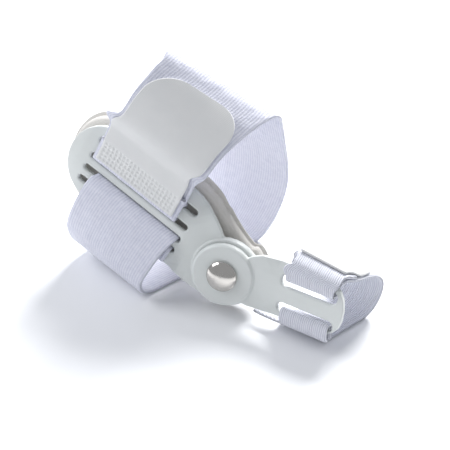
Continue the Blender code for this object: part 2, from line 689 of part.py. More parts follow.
def foot_strap_path():
    """The foot strap from its short end through the lower slots, round the foot, to its upper end."""
    lowest, lower, upper, highest = SLOT_HEIGHTS.values()
    half = SLOT_WIDTH / 2
    lower_x = -SLOT_END_REACH - 0.9 * MM
    upper_x = -SLOT_END_REACH - 5.4 * MM
    low_edge = lowest - half
    rows = [(low_edge - 4.4 * MM, foot_face(low_edge) + STRAP_LIFT + 0.6 * MM)]
    rows += quarter((low_edge, foot_face(low_edge)), SLOT_SIDE, STRAP_LIFT, 90, 0)
    rows += behind_bar(lowest + half, lower - half, foot_face, PLATE_THICKNESS, SLOT_SIDE, STRAP_LIFT)[1:]
    rows = plate_rows(rows, lower_x)
    start = np.array(rows[-1][:3])
    floor_at = floor_below(start, PLATE_UP, FOOT_FLOOR_HEADING, FOOT_LOOP_SET_BACK, 0.0)
    rows += loop_rows(
        FOOT_LOOP, floor_at, FOOT_FLOOR_HEADING, FOOT_LOOP_DEPTH, FOOT_LOOP_HEIGHT, FOOT_LOOP_SLANT,
        STRAP_THICKNESS / 2,
    )
    top = PLATE_RISE + PLATE_HALF
    high_edge = highest + half
    landing = [(top + 4.0 * MM, 3.3 * MM), (top, 1.9 * MM), (top - 3.0 * MM, 1.0 * MM)]
    landing += quarter((high_edge, foot_face(high_edge)), SLOT_SIDE, STRAP_LIFT, 90, 180)
    thread = behind_bar(upper + half, highest - half, foot_face, PLATE_THICKNESS, SLOT_SIDE, STRAP_LIFT)
    landing += list(reversed(thread))[1:]
    bar_edge = upper + half
    landing += quarter((bar_edge, foot_face(bar_edge)), SLOT_SIDE, STRAP_LIFT, 180, 90)[1:]
    end = [(bar_edge + 2.4 * MM, 1.0 * MM), (bar_edge + 4.8 * MM, 1.6 * MM)]
    end += [(bar_edge + 7.0 * MM, 1.8 * MM), (bar_edge + 9.2 * MM, 2.9 * MM)]
    rows += plate_rows(landing + end, upper_x)
    return rows, end


def tab_mesh(centres, rulings, outs, length, width, corner, thickness):
    """A hook tab along a line of places, cut to a length and with its free corners rounded."""
    steps = np.linalg.norm(np.diff(centres, axis=0), axis=1)
    travel = np.concatenate(([0.0], np.cumsum(steps)))
    marks = np.concatenate((np.linspace(0.0, length - corner, 14), length - corner
                            + corner * np.sin(np.radians(np.linspace(0.0, 84.0, 8))[1:])))
    columns = [np.interp(marks, travel, data[:, axis]) for data in (centres, rulings, outs) for axis in range(3)]
    spots, across, faces = (np.column_stack(columns[i:i + 3]) for i in (0, 3, 6))
    across /= np.linalg.norm(across, axis=1)[:, None]
    faces -= across * np.sum(faces * across, axis=1)[:, None]
    faces /= np.linalg.norm(faces, axis=1)[:, None]
    past = np.clip(marks - length + corner, 0.0, corner)
    widths = width - 2.0 * (corner - np.sqrt(corner**2 - past**2))
    return band_mesh(spots, across, faces, widths, thickness)


def make_foot_straps():
    """The foot strap and the tab on its upper end, lying on the strap up to the crest."""
    rows, end = foot_strap_path()
    path = band_path(rows, FOOT_STRAP_WIDTH, STRAP_THICKNESS)
    strap = band_mesh(*path, STRAP_THICKNESS)
    centres, rulings, outs, widths = path
    total = len(centres)
    flap = slice(total - len(end), total)
    past_end = centres[-1] + PLATE_UP * TAB_STEP
    ahead = centres[: total - 2 * len(end)]
    nearest = int(np.argmin(np.linalg.norm(ahead - past_end, axis=1)))
    run = slice(nearest, nearest - 30, -1)
    spots = np.vstack((centres[flap] + outs[flap] * TAB_LIFT, centres[run] - outs[run] * TAB_LIFT))
    faces = np.vstack((outs[flap], -outs[run]))
    across = np.vstack((rulings[flap], rulings[run]))
    tab = tab_mesh(spots, across, faces, FOOT_TAB_LENGTH, FOOT_TAB_WIDTH, FOOT_TAB_CORNER, TAB_THICKNESS)
    return strap, tab


def toe_strap_path():
    """The toe strap from its folded end through the upper slot, round the toe, to its lower end."""
    rim_x = ARM_SLOT_START + ARM_SLOT_LENGTH - 1.5 * MM
    slope = math.radians(3.0)
    ruling = math.cos(slope) * BLADE_ALONG - math.sin(slope) * ARM_UP
    upper_edge = MIDDLE_BAR / 2 + UPPER_ARM_SLOT
    border_top = ARM_HALF_WIDTH * 0.95
    top_face = blade_face(border_top)
    lower_edge = -MIDDLE_BAR / 2 - LOWER_ARM_SLOT
    border_foot = -ARM_HALF_WIDTH * 0.82
    over = [(border_top + TOE_SIDE, top_face - ARM_THICKNESS / 2)]
    over += [(border_top, top_face + TOE_LIFT)]
    around = [(upper_edge, blade_face(upper_edge) + TOE_LIFT)]
    around += quarter((upper_edge, blade_face(upper_edge)), TOE_SIDE, TOE_LIFT, 90, 180)[1:]
    around += quarter((upper_edge, blade_face(upper_edge) - ARM_THICKNESS), TOE_SIDE, TOE_LIFT, 180, 270)
    away = [(border_top, top_face - ARM_THICKNESS - TOE_LIFT - SEAT_GAP)]
    fold_x = rim_x + 1.2 * MM
    front = arm_rows(over, fold_x, ruling) + arm_rows(around, rim_x, BLADE_ALONG)
    front += arm_rows(away, fold_x, ruling)
    below = [(border_foot - TOE_SIDE, blade_face(border_foot) - 0.4 * MM)]
    below += [(border_foot - 0.4 * MM, blade_face(border_foot) + TOE_LIFT)]
    below += quarter((lower_edge, blade_face(lower_edge)), TOE_SIDE, TOE_LIFT, 90, 0)
    below += quarter((lower_edge, blade_face(lower_edge) - ARM_THICKNESS), TOE_SIDE, TOE_LIFT, 0, -90)
    below += [(border_foot, blade_face(border_foot) - ARM_THICKNESS - TOE_LIFT)]
    below += [(border_foot - 2.0 * MM, blade_face(border_foot) - ARM_THICKNESS - TOE_LIFT - 0.4 * MM)]
    lower_rows = arm_rows(below, rim_x, BLADE_ALONG)
    start = np.array(arm_rows([(lower_edge + TOE_SIDE, 0.0)], rim_x, BLADE_ALONG)[0][:3])
    upright = np.array([0.0, 0.0, 1.0])
    floor_at = floor_below(start, upright, TOE_FLOOR_HEADING, TOE_LOOP_SET_BACK, -TOE_LOOP_SHIFT)
    loop = loop_rows(
        TOE_LOOP, floor_at, TOE_FLOOR_HEADING, TOE_LOOP_DEPTH, TOE_LOOP_HEIGHT, TOE_LOOP_SLANT,
        TOE_STRAP_THICKNESS / 2,
    )
    first = np.array(loop[0][:3]) + upright * TOE_LAYER
    folded = [[*first, *loop[0][3:]]]
    return folded + front + loop + lower_rows


def make_toe_straps():
    """The toe strap and the tab on its folded end, lying on the top of the loop."""
    rows = toe_strap_path()
    path = band_path(rows, TOE_STRAP_WIDTH, TOE_STRAP_THICKNESS)
    strap = band_mesh(*path, TOE_STRAP_THICKNESS)
    centres, rulings, outs, widths = path
    nearest = int(np.argmin(np.linalg.norm(centres[8:30] - centres[0], axis=1))) + 8
    run = slice(nearest + 1, nearest + 15)
    spots = np.vstack((centres[1::-1] - outs[1::-1] * TOE_TAB_LIFT, centres[run] + outs[run] * TOE_TAB_LIFT))
    faces = np.vstack((-outs[1::-1], outs[run]))
    across = np.vstack((rulings[1::-1], rulings[run]))
    tab = tab_mesh(spots, across, faces, TOE_TAB_LENGTH, TOE_TAB_WIDTH, TOE_TAB_CORNER, TAB_THICKNESS)
    return strap, tab


plastic = make_material("moulded_plastic", (0.60, 0.62, 0.61), 0.45)
foam_cover = make_material("foam_cover", (0.55, 0.54, 0.52), 0.9)
loop_cloth = make_material("loop_cloth", (0.62, 0.63, 0.70), 0.95)
hook_cloth = make_material("hook_cloth", (0.62, 0.61, 0.59), 0.7)
nickel = make_material("nickel", (0.70, 0.69, 0.66), 0.2, 1.0)

foot_frame = add_empty("foot_frame", FOOT_FRAME)
toe_joint = add_empty("toe_joint", TOE_FRAME)
add_piece("foot_plate", make_foot_plate(), plastic, foot_frame)
add_piece("pad", make_pad(), foam_cover, foot_frame)
add_piece("rivet", make_rivet(), nickel, foot_frame)
add_piece("toe_arm", make_toe_arm(), plastic, toe_joint)
foot_meshes = make_foot_straps()
toe_meshes = make_toe_straps()
for mesh in foot_meshes:
    mesh.transform(FOOT_FRAME.inverted())
for mesh in toe_meshes:
    mesh.transform(TOE_FRAME.inverted())
add_piece("foot_strap", foot_meshes[0], loop_cloth, foot_frame)
add_piece("foot_tab", foot_meshes[1], hook_cloth, foot_frame)
add_piece("toe_strap", toe_meshes[0], loop_cloth, toe_joint)
add_piece("toe_tab", toe_meshes[1], hook_cloth, toe_joint)

# The whole is moved so that the middle of its box stands over the origin
bpy.context.view_layer.update()
solids = [piece for piece in bpy.data.objects if piece.type == "MESH"]
places = np.array([piece.matrix_world @ vertex.co for piece in solids for vertex in piece.data.vertices])
low = places.min(axis=0)
high = places.max(axis=0)
shift = Vector((-(low[0] + high[0]) / 2, -(low[1] + high[1]) / 2, -low[2]))
for empty in (foot_frame, toe_joint):
    empty.location = empty.location + shift
bpy.context.view_layer.update()
print("size in mm", np.round((high - low) / MM, 2), "hinge", tuple(round(v / MM, 2) for v in toe_joint.location))
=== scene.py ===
# %% [markdown]
# # A hinged bunion corrector
# A splint for the big toe: a moulded plate lies along the foot, a short arm turns on a rivet, and
# two webbing straps hold them on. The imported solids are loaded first, as a frame that never moves.
# Every dressed piece is then made in the same metres, in the same place.

# %% Load the frame
import json
import math

import bpy
import numpy as np
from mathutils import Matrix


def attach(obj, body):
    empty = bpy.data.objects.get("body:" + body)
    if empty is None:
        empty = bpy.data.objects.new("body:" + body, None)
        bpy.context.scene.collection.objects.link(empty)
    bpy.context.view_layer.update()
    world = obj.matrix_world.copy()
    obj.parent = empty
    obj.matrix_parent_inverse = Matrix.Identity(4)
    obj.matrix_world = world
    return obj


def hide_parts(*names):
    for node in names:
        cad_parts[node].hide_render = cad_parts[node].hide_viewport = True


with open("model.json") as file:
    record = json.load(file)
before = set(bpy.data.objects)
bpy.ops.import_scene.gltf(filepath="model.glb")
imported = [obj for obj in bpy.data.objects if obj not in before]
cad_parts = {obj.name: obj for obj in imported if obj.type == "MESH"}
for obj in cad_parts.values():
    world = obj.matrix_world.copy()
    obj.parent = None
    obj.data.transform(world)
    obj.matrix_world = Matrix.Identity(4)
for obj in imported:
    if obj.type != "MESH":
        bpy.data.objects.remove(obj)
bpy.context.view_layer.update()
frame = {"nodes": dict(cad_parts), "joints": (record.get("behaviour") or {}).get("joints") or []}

MM = 0.001

# %% [markdown]
# ## Directions
# The plate lies tipped on its straps, so nearly everything is easier to say in its own directions:
# along it towards the toe, up across it, and out of its face. The arm's blade has its own.

# %% Directions of the plate, the hub and the arm
def heading_and_dip(heading, dip):
    """(cos dip cos heading, cos dip sin heading, -sin dip): a direction from two angles in degrees."""
    turn, fall = math.radians(heading), math.radians(dip)
    return np.array([math.cos(fall) * math.cos(turn), math.cos(fall) * math.sin(turn), -math.sin(fall)])


def turned(first, second, degrees):
    """first * cos + second * sin: the first direction turned towards the second."""
    return math.cos(math.radians(degrees)) * first + math.sin(math.radians(degrees)) * second


PLATE_ALONG = heading_and_dip(-32.3, 23.5)
upright = heading_and_dip(-32.3, 23.5 - 90.0)
PLATE_OUT = turned(np.cross(PLATE_ALONG, upright), upright, 19.8)
PLATE_UP = np.cross(PLATE_OUT, PLATE_ALONG)
HUB_OUT = turned(PLATE_OUT, PLATE_ALONG, 7.0)
HUB_ALONG = np.cross(PLATE_UP, HUB_OUT)
ARM_ALONG = turned(HUB_ALONG, PLATE_UP, 23.0)
ARM_UP = np.cross(HUB_OUT, ARM_ALONG)
BLADE_ALONG = turned(ARM_ALONG, HUB_OUT, 16.0)
BLADE_OUT = np.cross(BLADE_ALONG, ARM_UP)
HINGE = np.array(frame["joints"][0]["pos_m"])
print("hinge at", HINGE.round(4).tolist(), "axis", HUB_OUT.round(3).tolist())

# %% [markdown]
# ## Places on the plate and on the blade
# A strap is threaded through slots, so its route is said in millimetres across the plate and out of
# its face. Two small functions turn such a pair into a place, and two more give the crowned faces.

# %% Places on the plate and on the blade
HUB_BEND_AT = 18.0 * MM
hub_round = 6.0 * MM / math.radians(7.0)
plate_start = HINGE - HUB_ALONG * (12.0 * MM + hub_round * math.sin(math.radians(7.0)))
plate_start = plate_start - HUB_OUT * hub_round * (1.0 - math.cos(math.radians(7.0)))
PLATE_ORIGIN = plate_start + PLATE_ALONG * HUB_BEND_AT

neck_round = 6.0 * MM / math.radians(16.0) - 2.2 * MM
blade_start = HINGE + ARM_ALONG * (9.0 * MM + neck_round * math.sin(math.radians(16.0)))
blade_start = blade_start + HUB_OUT * (neck_round * (1.0 - math.cos(math.radians(16.0))) + 2.2 * MM)
BLADE_ORIGIN = blade_start - BLADE_ALONG * 15.0 * MM


def on_plate(pairs, along, ruling=PLATE_ALONG):
    """Rows (place, ruling): origin + along * a + across * b + out * n, with pairs of (across, out) in mm."""
    return [[*(PLATE_ORIGIN + along * MM * PLATE_ALONG + y * MM * PLATE_UP + z * MM * PLATE_OUT), *ruling]
            for y, z in pairs]


def on_blade(pairs, along, ruling=BLADE_ALONG):
    """Rows (place, ruling) in the same way, in the directions of the arm's blade."""
    return [[*(BLADE_ORIGIN + along * MM * BLADE_ALONG + y * MM * ARM_UP + z * MM * BLADE_OUT), *ruling]
            for y, z in pairs]


def plate_face(y):
    """-2.5 ((y - 3.2) / 15.8)^2: the crowned outer face of the plate across its slots, in mm."""
    return -2.5 * ((y - 3.2) / 15.8) ** 2


def blade_face(y):
    """-2 (y / 11.9)^2: the crowned outer face of the arm's blade across its slots, in mm."""
    return -2.0 * (y / 11.9) ** 2


def quarter(corner, side, lift, start, end, steps=7):
    """(corner + side cos a, corner + lift sin a): a quarter of an ellipse round a bar's corner."""
    turns = np.radians(np.linspace(start, end, steps))
    return list(zip(corner[0] + side * np.cos(turns), corner[1] + lift * np.sin(turns)))


def behind_bar(lower, upper, face, wall, side, lift):
    """The strap's line from the slot below a bar, behind the bar, to the slot above it."""
    rows = quarter((lower, face(lower) - wall), side, lift, 180, 270)
    rows += quarter((upper, face(upper) - wall), side, lift, 270, 360)
    return [(lower - side, face(lower))] + rows + [(upper + side, face(upper))]


print("plate origin", (PLATE_ORIGIN / MM).round(2).tolist(), "blade origin", (BLADE_ORIGIN / MM).round(2).tolist())

# %% [markdown]
# ## A strap's route
# Webbing bends only along its length: straight lines run across it. So a route is a list of places
# on one edge, each with the direction straight across, and a smooth curve through all six numbers.

# %% Smooth curves through rows of numbers
def smooth_rows(rows, spacing):
    """Cubic Hermite pieces whose slopes are the chords' mean, weighted by the other chord's length."""
    rows = np.asarray(rows, float)
    steps = np.linalg.norm(np.diff(rows[:, :3], axis=0), axis=1)
    chords = np.diff(rows, axis=0) / steps[:, None]
    inner = (chords[:-1] * steps[1:, None] + chords[1:] * steps[:-1, None]) / (steps[:-1] + steps[1:])[:, None]
    slopes = np.vstack((chords[:1], inner, chords[-1:]))
    travel = np.concatenate(([0.0], np.cumsum(steps)))
    marks = np.linspace(0.0, travel[-1], int(travel[-1] / spacing) + 1)
    at = np.clip(np.searchsorted(travel, marks, "right") - 1, 0, len(steps) - 1)
    t = ((marks - travel[at]) / steps[at])[:, None]
    step = steps[at][:, None]
    start = (1 + 2 * t) * (1 - t) ** 2 * rows[at] + t**2 * (3 - 2 * t) * rows[at + 1]
    return start + t * (1 - t) ** 2 * step * slopes[at] + t**2 * (t - 1) * step * slopes[at + 1]


def band_path(rows, width, thickness, spacing):
    """Along a band: middle, ruling, out = ruling x tangent, width ruled, and the length travelled."""
    path = smooth_rows(rows, spacing)
    rims = path[:, :3].copy()
    rims[:, 2] = np.maximum(rims[:, 2], thickness / 2)
    rulings = path[:, 3:] / np.linalg.norm(path[:, 3:], axis=1)[:, None]
    along = np.gradient(rims, axis=0)
    along /= np.linalg.norm(along, axis=1)[:, None]
    outs = np.cross(rulings, along)
    lean = np.linalg.norm(outs, axis=1)
    outs /= lean[:, None]
    widths = width / lean
    far = rims - rulings * widths[:, None]
    far[:, 2] = np.maximum(far[:, 2], thickness / 2)
    middles = (rims + far) / 2
    rulings = (rims - far) / widths[:, None]
    travel = np.concatenate(([0.0], np.cumsum(np.linalg.norm(np.diff(middles, axis=0), axis=1))))
    return {"middles": middles, "rulings": rulings, "outs": outs, "widths": widths, "travel": travel}


# %% [markdown]
# ## Loops on the floor
# Each loop is a table: how far back and how high its edge is, as shares of the loop's depth and
# height, and how far the direction across it is turned and dipped there.

# %% Tables of the two loops
def loop_rows(table, start, heading, depth, height, slant, half):
    """Rows start + depth back + height up + slant * height along, with rulings from turn and dip."""
    along = heading_and_dip(heading, 0.0)
    back = np.cross([0.0, 0.0, 1.0], along)
    rows = []
    for share, rise, turn, dip in table:
        spot = start + back * share * depth + along * rise * height * slant
        spot = spot + np.array([0.0, 0.0, max(rise * height, half)])
        rows.append([*spot, *heading_and_dip(heading + turn, dip)])
    return rows


def floor_below(start, down_line, heading, set_back, shift):
    """The floor place under a strap's way out, carried down a line, then back and along."""
    along = heading_and_dip(heading, 0.0)
    return start - down_line * start[2] / down_line[2] + np.cross([0, 0, 1.0], along) * set_back + along * shift


# depth, height, turn, dip
FOOT_LOOP = (
    (0.040, 0.312, 18.0, 22.0), (-0.045, 0.212, 15.0, 18.5), (-0.092, 0.115, 11.0, 13.0),
    (-0.062, 0.045, 8.0, 8.0), (0.010, 0.012, 5.0, 4.0), (0.120, 0.000, 0.0, 0.0),
    (0.180, 0.000, 0.0, 0.0), (0.760, 0.000, 0.0, 0.0), (0.820, 0.000, 0.0, 0.0),
    (0.890, 0.025, 1.0, 1.0), (0.945, 0.085, 4.0, 4.0), (0.992, 0.222, 10.0, 9.0),
    (0.995, 0.401, 16.0, 14.0), (0.948, 0.567, 21.0, 18.0), (0.874, 0.736, 26.0, 22.0),
    (0.802, 0.897, 30.0, 25.0), (0.762, 0.970, 31.5, 25.5), (0.732, 0.990, 31.5, 25.5),
    (0.690, 0.995, 31.0, 25.5), (0.565, 0.970, 28.5, 25.0), (0.442, 0.916, 25.0, 24.5),
    (0.335, 0.845, 22.0, 24.0), (0.250, 0.752, 20.0, 23.5),
)
TOE_LOOP = (
    (0.30, 0.970, 13.0, 11.0), (0.54, 0.910, 12.0, 13.0), (0.79, 0.800, 11.0, 10.0),
    (0.94, 0.650, 10.0, 5.0), (1.00, 0.480, 10.0, 2.0), (0.99, 0.270, 9.0, 0.0),
    (0.90, 0.110, 8.0, 0.0), (0.74, 0.000, 8.0, 0.0), (0.66, 0.000, 8.0, 0.0),
    (0.18, 0.000, 8.0, 0.0), (0.08, 0.000, 8.0, 0.0), (-0.04, 0.035, 9.0, 0.0),
    (-0.15, 0.110, 12.0, 0.0),
)

# %% [markdown]
# ## The foot strap's route
# It starts as a short end low on the plate, goes in through the lowest slot, behind a bar and out
# again, round the foot, down over the plate's upper edge into the highest slot, behind the next
# bar, and out and up over itself, where the hook tab is welded on.

# %% Route of the foot strap
LOWEST, LOWER, UPPER, HIGHEST = -5.8, -0.35, 5.2, 12.2
SLOT_HALF, SIDE, LIFT = 1.2, 1.2, 0.95
FOOT_WIDTH, FOOT_THICK, WALL = 40.0, 1.3, 2.0

low_edge, bar_edge, high_edge = LOWEST - SLOT_HALF, UPPER + SLOT_HALF, HIGHEST + SLOT_HALF
low_end = [(low_edge - 4.4, plate_face(low_edge) + LIFT + 0.6)]
low_end += quarter((low_edge, plate_face(low_edge)), SIDE, LIFT, 90, 0)
low_end += behind_bar(LOWEST + SLOT_HALF, LOWER - SLOT_HALF, plate_face, WALL, SIDE, LIFT)[1:]
foot_rows = on_plate(low_end, -21.5)
foot_floor = floor_below(np.array(foot_rows[-1][:3]), PLATE_UP, -51.4, 5.7 * MM, 0.0)
foot_rows += loop_rows(FOOT_LOOP, foot_floor, -51.4, 62.0 * MM, 72.0 * MM, 0.273, FOOT_THICK / 2 * MM)
landing = [(23.0, 3.3), (19.0, 1.9), (16.0, 1.0)]
landing += quarter((high_edge, plate_face(high_edge)), SIDE, LIFT, 90, 180)
landing += behind_bar(UPPER + SLOT_HALF, HIGHEST - SLOT_HALF, plate_face, WALL, SIDE, LIFT)[::-1][1:]
landing += quarter((bar_edge, plate_face(bar_edge)), SIDE, LIFT, 180, 90)[1:]
upper_end = [(bar_edge + 2.4, 1.0), (bar_edge + 4.8, 1.6), (bar_edge + 7.0, 1.8), (bar_edge + 9.2, 2.9)]
foot_rows += on_plate(landing + upper_end, -26.0)
foot_path = band_path(foot_rows, FOOT_WIDTH * MM, FOOT_THICK * MM, 0.5 * MM)
print("foot strap length mm", round(foot_path["travel"][-1] / MM, 1), "sections", len(foot_path["travel"]))

# %% [markdown]
# ## The toe strap's route
# It starts folded over the arm's upper border, comes out of the upper slot behind that border,
# goes round the toe, up outside the lower border, in through the lower slot and down behind it.

# %% Route of the toe strap
TOE_WIDTH, TOE_THICK, ARM_WALL = 20.0, 1.1, 1.8
TOE_SIDE, TOE_LIFT = 1.9, 1.1
edge_up, edge_down, border_up, border_down = 7.9, -7.3, 11.305, -9.758
leaning = turned(BLADE_ALONG, -ARM_UP, 6.0)
top_face = blade_face(border_up)
over = [(border_up + TOE_SIDE, top_face - ARM_WALL / 2), (border_up, top_face + TOE_LIFT)]
around = [(edge_up, blade_face(edge_up) + TOE_LIFT)]
around += quarter((edge_up, blade_face(edge_up)), TOE_SIDE, TOE_LIFT, 90, 180)[1:]
around += quarter((edge_up, blade_face(edge_up) - ARM_WALL), TOE_SIDE, TOE_LIFT, 180, 270)
away = [(border_up, top_face - ARM_WALL - TOE_LIFT - 0.3)]
toe_end = [(border_down - TOE_SIDE, blade_face(border_down) - 0.4)]
toe_end += [(border_down - 0.4, blade_face(border_down) + TOE_LIFT)]
toe_end += quarter((edge_down, blade_face(edge_down)), TOE_SIDE, TOE_LIFT, 90, 0)
toe_end += quarter((edge_down, blade_face(edge_down) - ARM_WALL), TOE_SIDE, TOE_LIFT, 0, -90)
toe_end += [(border_down, blade_face(border_down) - ARM_WALL - TOE_LIFT)]
toe_end += [(border_down - 2.0, blade_face(border_down) - ARM_WALL - TOE_LIFT - 0.4)]
toe_start = np.array(on_blade([(edge_down + TOE_SIDE, 0.0)], 44.9)[0][:3])
toe_floor = floor_below(toe_start, np.array([0, 0, 1.0]), -49.4, 6.1 * MM, -4.7 * MM)
toe_loop = loop_rows(TOE_LOOP, toe_floor, -49.4, 25.0 * MM, 28.0 * MM, 0.18, TOE_THICK / 2 * MM)
folded = np.array(toe_loop[0])
folded[2] += (TOE_THICK + 0.3) * MM
toe_rows = [list(folded)] + on_blade(over, 46.6, leaning) + on_blade(around, 45.2)
toe_rows += on_blade(away, 46.6, leaning) + toe_loop + on_blade(toe_end, 45.2)
toe_path = band_path(toe_rows, TOE_WIDTH * MM, TOE_THICK * MM, 0.35 * MM)
print("toe strap length mm", round(toe_path["travel"][-1] / MM, 1), "sections", len(toe_path["travel"]))

# %% [markdown]
# ## Cloth bands as closed surfaces
# A band is a ring of points carried along its route: over the outer face, round a soft edge, back
# under the inner face and round the other edge. Two numbers, the travel along and the place round
# the ring, give each point, and the same two numbers become the cloth's own map for its weave.

# %% A mesh from a grid, and the ring carried along a band
def mesh_from(name, points, faces, maps=None):
    """An object whose mesh is given as whole arrays, with an optional map of two numbers a point."""
    mesh = bpy.data.meshes.new(name)
    mesh.from_pydata([tuple(point) for point in points.tolist()], [], faces.tolist())
    if maps is not None:
        layer = mesh.uv_layers.new(name="cloth")
        corners = np.zeros(len(mesh.loops), np.int32)
        mesh.loops.foreach_get("vertex_index", corners)
        layer.data.foreach_set("uv", maps[corners].astype(np.float32).ravel())
    mesh.shade_smooth()
    mesh.validate()
    piece = bpy.data.objects.new(name, mesh)
    bpy.context.scene.collection.objects.link(piece)
    return piece


def grid_faces(rows, columns, closed):
    """Four corners for each cell of a grid of rows by columns, closed round its columns or open."""
    last = columns if closed else columns - 1
    row, column = np.meshgrid(np.arange(rows - 1), np.arange(last), indexing="ij")
    after = (column + 1) % columns
    here, below = row * columns, (row + 1) * columns
    cells = (here + column, here + after, below + after, below + column)
    return np.stack(cells, axis=-1).reshape(-1, 4)


def smooth_noise(u, v, seed):
    """Random heights on whole numbers of (u, v), blended by 3t^2 - 2t^3 between them, from -1 to 1."""
    table = np.random.default_rng(seed).uniform(-1.0, 1.0, (257, 257))
    iu, iv = np.floor(u).astype(int), np.floor(v).astype(int)
    fu, fv = u - iu, v - iv
    fu, fv = fu * fu * (3 - 2 * fu), fv * fv * (3 - 2 * fv)
    a, b = table[iu % 256, iv % 256], table[(iu + 1) % 256, iv % 256]
    c, d = table[iu % 256, (iv + 1) % 256], table[(iu + 1) % 256, (iv + 1) % 256]
    return (a * (1 - fu) + b * fu) * (1 - fv) + (c * (1 - fu) + d * fu) * fv


def ring_shares(columns, edge):
    """Across from -1/2 to 1/2 over the outer face and back under, with sides rounded in edge steps."""
    flat = np.linspace(-0.5, 0.5, columns)
    turn = np.linspace(0.0, np.pi, edge + 2)[1:-1]
    across = np.concatenate((flat, np.full(edge, 0.5), flat[::-1], np.full(edge, -0.5)))
    bulge = np.concatenate((np.zeros(columns), np.sin(turn), np.zeros(columns), -np.sin(turn)))
    level = np.concatenate((np.ones(columns), np.cos(turn), -np.ones(columns), -np.cos(turn)))
    return across, bulge, level


def cloth_band(name, path, thickness, columns, relief=None):
    """P = middle + across width ruling + (level thickness / 2 + relief) out, over travel and ring."""
    across, bulge, level = ring_shares(columns, 3)
    radius = thickness / 2
    widths = path["widths"][:, None]
    sideways = across * np.maximum(widths - 2 * radius, 1e-6) + bulge * radius
    travel = np.broadcast_to(path["travel"][:, None], sideways.shape)
    height = np.broadcast_to(level * radius, sideways.shape).copy()
    if relief is not None:
        height += np.where(level > 0.99, relief(travel, sideways), 0.0)
        height -= np.where(level < -0.99, relief(travel + 0.1, sideways), 0.0)
    points = path["middles"][:, None] + sideways[..., None] * path["rulings"][:, None]
    points = points + height[..., None] * path["outs"][:, None]
    rows, ring = sideways.shape
    faces = grid_faces(rows, ring, True)[:, ::-1]
    flat = np.arange(ring // 2 - 1)
    cap = np.stack((flat, flat + 1, ring - 2 - flat, (ring - 1 - flat) % ring), axis=-1)
    caps = np.concatenate((cap[:, ::1], (cap + (rows - 1) * ring)[:, ::-1]))
    maps = np.stack((sideways + (level < 0) * 0.1, travel), axis=-1).reshape(-1, 2) / MM
    piece = mesh_from(name, points.reshape(-1, 3), np.concatenate((faces, caps)), maps)
    print(name, "points", rows * ring, "length mm", round(path["travel"][-1] / MM, 1))
    return piece


# %% [markdown]
# ## The foot strap's cloth
# The outer face is unbroken loop pile, brushed and a little uneven, so its height wanders by a few
# hundredths of a millimetre. The strap is also never dead flat: slow waves run along it.

# %% Foot strap
def pile(travel, sideways):
    """0.05 mm noise at 0.9 mm plus 0.09 mm noise at 4 mm: brushed pile with soft clumps."""
    fine = smooth_noise(travel / (0.9 * MM), sideways / (0.9 * MM) + 60, 3)
    slow = smooth_noise(travel / (4.0 * MM), sideways / (5.0 * MM) + 30, 5)
    return (0.05 * fine + 0.09 * slow) * MM


foot_cloth = cloth_band("foot_strap_cloth", foot_path, FOOT_THICK * MM, 72, pile)

# %% [markdown]
# ## The toe strap's cloth
# The narrow strap is ribbed webbing: fine cords run along it. They are 1.0 mm apart here, coarser
# than the real ones, so that they show.

# %% Toe strap
RIB_HEIGHT, RIB_SPACING = 0.045 * MM, 1.0 * MM


def ribs(travel, sideways):
    """RIB_HEIGHT times cos of one turn for each RIB_SPACING across: fine cords along the band."""
    return RIB_HEIGHT * np.cos(2 * np.pi * sideways / RIB_SPACING)


toe_cloth = cloth_band("toe_strap_cloth", toe_path, TOE_THICK * MM, 100, ribs)

# %% [markdown]
# ## Hook tabs
# Each tab is a sheet of moulded hook tape laid along the strap's outer face. Its free end has
# round corners, and a block of small square dents near the other end shows where it was welded.

# %% Cut a tab from a line of places
def tab_path(spots, rulings, outs, length, width, corner, spacing):
    """Even steps of travel along a line; past length - corner the width follows a circle's arc."""
    travel = np.concatenate(([0.0], np.cumsum(np.linalg.norm(np.diff(spots, axis=0), axis=1))))
    straight = np.arange(0.0, length - corner, spacing)
    tip = length - corner + corner * np.sin(np.radians(np.linspace(0.0, 89.0, 60)))
    marks = np.concatenate((straight, tip))

    def along(values):
        return np.column_stack([np.interp(marks, travel, values[:, axis]) for axis in range(3)])

    middles, across, faces = along(spots), along(rulings), along(outs)
    across /= np.linalg.norm(across, axis=1)[:, None]
    faces -= across * np.sum(faces * across, axis=1)[:, None]
    faces /= np.linalg.norm(faces, axis=1)[:, None]
    past = np.clip(marks - length + corner, 0.0, corner)
    widths = width - 2 * (corner - np.sqrt(corner**2 - past**2))
    return {"middles": middles, "rulings": across, "outs": faces, "widths": widths, "travel": marks}


def smoothed(values, times):
    """The mean of each row and its two neighbours, taken a number of times."""
    for _ in range(times):
        values[1:-1] = (values[:-2] + 2 * values[1:-1] + values[2:]) / 4
    return values


def weld_dents(start, end, half, columns, rows, depth):
    """-depth times a product of two raised cosines inside a block of columns by rows square dents."""
    def relief(travel, sideways):
        u = (sideways + half) / (2 * half) * columns
        v = (travel - start) / (end - start) * rows
        inside = (u > 0) & (u < columns) & (v > 0) & (v < rows)
        dent = np.clip(1.6 * np.sin(np.pi * u) ** 2, 0, 1) * np.clip(1.6 * np.sin(np.pi * v) ** 2, 0, 1)
        return np.where(inside, -depth * dent, 0.0)
    return relief


